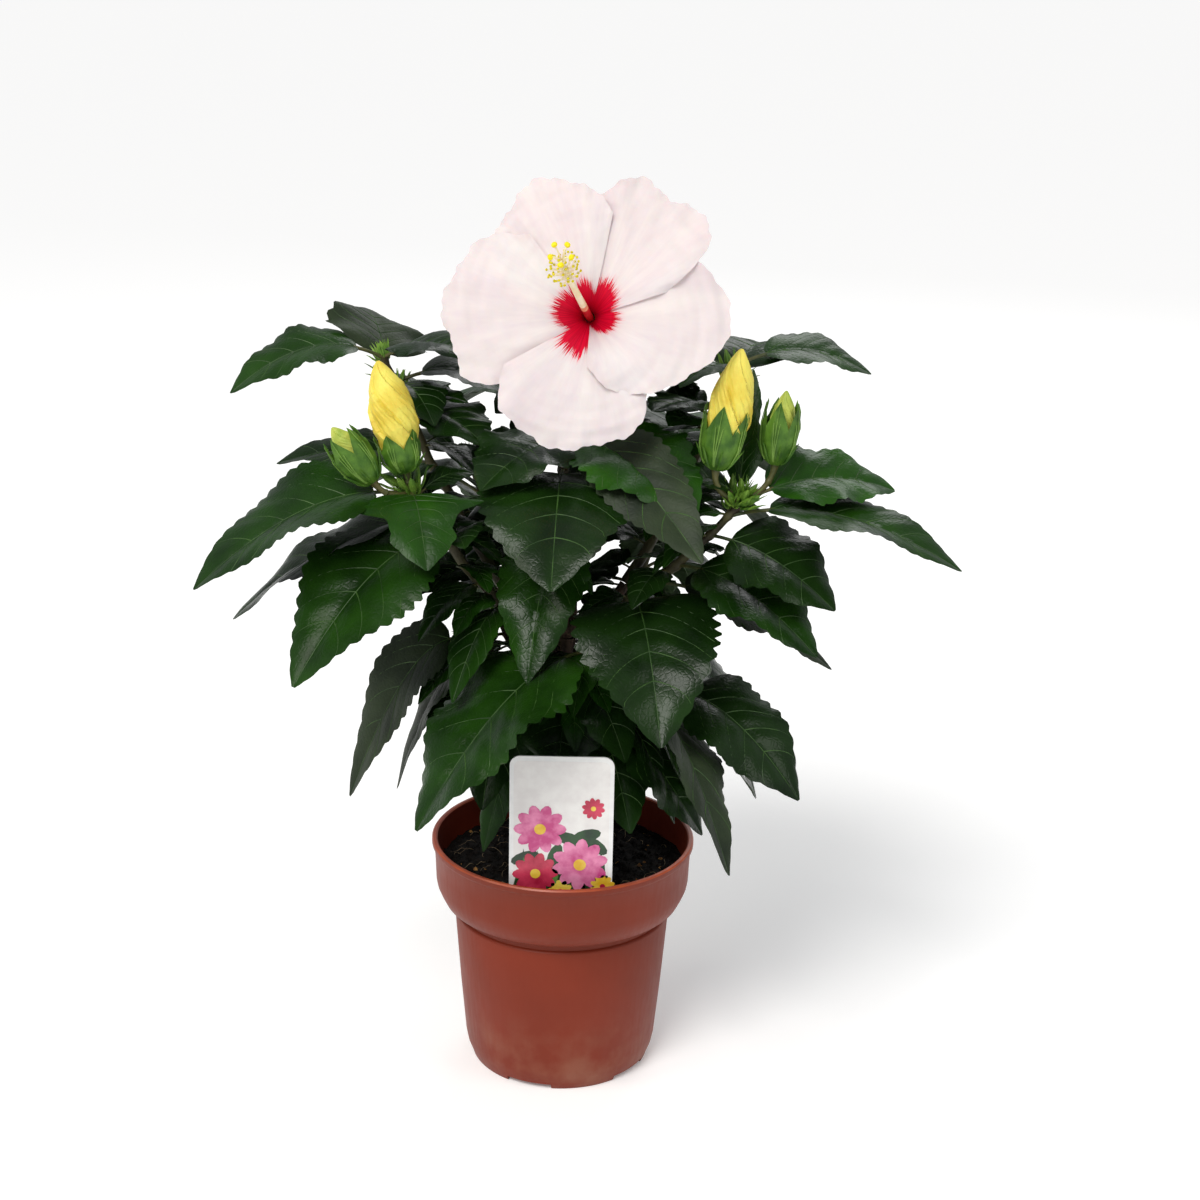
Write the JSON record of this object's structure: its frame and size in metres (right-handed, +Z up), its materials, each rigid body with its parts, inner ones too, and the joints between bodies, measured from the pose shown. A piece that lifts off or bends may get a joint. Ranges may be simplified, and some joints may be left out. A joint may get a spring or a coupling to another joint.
{
  "type": "potted hibiscus shrub",
  "caption": "Small hibiscus shrub with glossy toothed leaves, a pale pink bloom with a crimson eye and yellow buds, in a terracotta plastic nursery pot.",
  "frame": {"origin": "middle of the pot's flat underside", "axes": "+Z up the plant, -Y towards the side that the open bloom faces, +X to its right"},
  "size_m": [0.3525, 0.2729, 0.4441],
  "materials": {
    "pot": "moulded polypropylene in terracotta colour, dull sheen",
    "compost": "moist crumbly peat with pale fibres",
    "tag": "printed plastic card with a floral design",
    "bark": "thin grey-brown bark with small pores",
    "foliage": "glossy dark green leaves with pale veins",
    "petal": "soft pale pink petals with a crimson eye",
    "stamens": "pale yellow column with yellow anthers",
    "calyx": "fresh green calyx, softly ribbed",
    "bud": "rolled yellow petals with diagonal folds"
  },
  "bodies": {
    "root": {"pot": "pot", "compost": "compost", "plant_tag": "tag", "trunk": "bark", "bough_left": "bark", "bough_left_back": "bark", "bough_leader": "bark", "bough_right": "bark", "bough_right_back": "bark", "bough_back": "bark", "bough_back_left": "bark", "bough_back_right": "bark", "foliage_left": "foliage", "foliage_left_back": "foliage", "foliage_leader": "foliage", "foliage_right": "foliage", "foliage_right_back": "foliage", "foliage_back": "foliage", "foliage_back_left": "foliage", "foliage_back_right": "foliage", "foliage_low_front": "foliage", "foliage_low_left": "foliage", "foliage_low_right": "foliage", "foliage_low_back_left": "foliage", "foliage_low_back_right": "foliage", "bloom_petal_1": "petal", "bloom_petal_2": "petal", "bloom_petal_3": "petal", "bloom_petal_4": "petal", "bloom_petal_5": "petal", "bloom_column": "stamens", "bloom_calyx": "calyx", "bud_left_yellow_corolla": "bud", "bud_left_yellow_calyx": "calyx", "bud_left_green_corolla": "bud", "bud_left_green_calyx": "calyx", "bud_right_yellow_corolla": "bud", "bud_right_yellow_calyx": "calyx", "bud_right_small_corolla": "bud", "bud_right_small_calyx": "calyx"}
  },
  "joints": []
}
